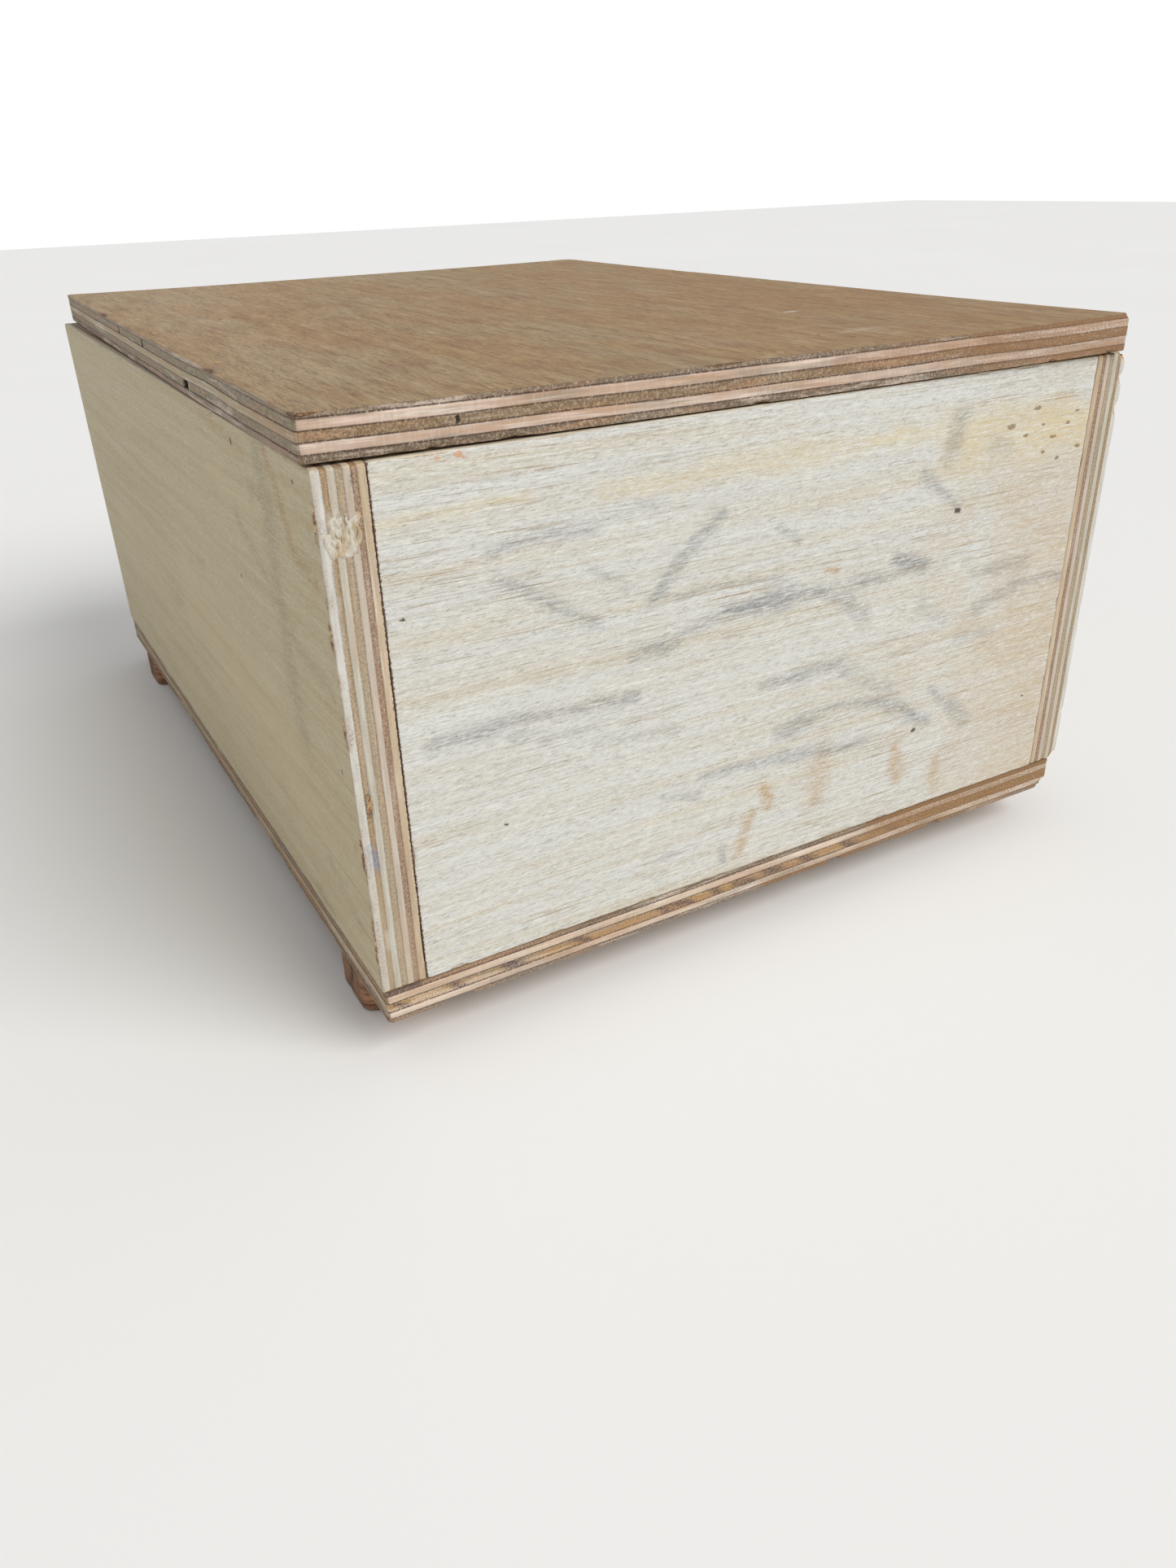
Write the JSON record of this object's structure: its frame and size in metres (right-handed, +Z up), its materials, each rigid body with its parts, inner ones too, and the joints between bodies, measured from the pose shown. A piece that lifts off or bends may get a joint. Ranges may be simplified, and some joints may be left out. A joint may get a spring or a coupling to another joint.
{
  "type": "apple box",
  "caption": "Closed plywood box on low wooden feet, a sturdy riser for standing on or for raising stands and props in a studio.",
  "frame": {"origin": "on the floor under the middle of the box, level with the undersides of the feet", "axes": "+Z up through the top board, +Y from the front short end to the back one, +X from the left long side to the right one"},
  "size_m": [0.3086, 0.4256, 0.2045],
  "materials": {
    "board_ply": "brown-faced five-ply board, worn satin, layered edge",
    "wall_ply": "pale seven-ply poplar, bare and scuffed, layered edge",
    "foot_wood": "sawn reddish-brown hardwood",
    "fastener_steel": "bright drawn wire"
  },
  "bodies": {
    "root": {"lid_panel": "board_ply", "bottom_panel": "board_ply", "left_side_panel": "wall_ply", "right_side_panel": "wall_ply", "front_end_panel": "wall_ply", "back_end_panel": "wall_ply", "centre_rib": "wall_ply", "foot_front_left": "foot_wood", "foot_front_right": "foot_wood", "foot_back_left": "foot_wood", "foot_back_right": "foot_wood", "foot_screw_front_left": "fastener_steel", "foot_screw_front_right": "fastener_steel", "foot_screw_back_left": "fastener_steel", "foot_screw_back_right": "fastener_steel", "lid_brad_left_1": "fastener_steel", "lid_brad_left_2": "fastener_steel", "lid_brad_left_3": "fastener_steel", "lid_brad_right_1": "fastener_steel", "lid_brad_right_2": "fastener_steel", "lid_brad_right_3": "fastener_steel", "lid_brad_front_1": "fastener_steel", "lid_brad_front_2": "fastener_steel", "lid_brad_front_3": "fastener_steel", "lid_brad_back_1": "fastener_steel", "lid_brad_back_2": "fastener_steel", "lid_brad_back_3": "fastener_steel", "lid_brad_rib_1": "fastener_steel", "lid_brad_rib_2": "fastener_steel", "bottom_brad_left_1": "fastener_steel", "bottom_brad_left_2": "fastener_steel", "bottom_brad_left_3": "fastener_steel", "bottom_brad_right_1": "fastener_steel", "bottom_brad_right_2": "fastener_steel", "bottom_brad_right_3": "fastener_steel", "bottom_brad_front_1": "fastener_steel", "bottom_brad_front_2": "fastener_steel", "bottom_brad_front_3": "fastener_steel", "bottom_brad_back_1": "fastener_steel", "bottom_brad_back_2": "fastener_steel", "bottom_brad_back_3": "fastener_steel", "bottom_brad_rib_1": "fastener_steel", "bottom_brad_rib_2": "fastener_steel", "corner_brad_front_left_1": "fastener_steel", "corner_brad_front_left_2": "fastener_steel", "corner_brad_front_left_3": "fastener_steel", "corner_brad_front_right_1": "fastener_steel", "corner_brad_front_right_2": "fastener_steel", "corner_brad_front_right_3": "fastener_steel", "corner_brad_back_left_1": "fastener_steel", "corner_brad_back_left_2": "fastener_steel", "corner_brad_back_left_3": "fastener_steel", "corner_brad_back_right_1": "fastener_steel", "corner_brad_back_right_2": "fastener_steel", "corner_brad_back_right_3": "fastener_steel", "rib_brad_left_1": "fastener_steel", "rib_brad_left_2": "fastener_steel", "rib_brad_right_1": "fastener_steel", "rib_brad_right_2": "fastener_steel"}
  },
  "joints": []
}
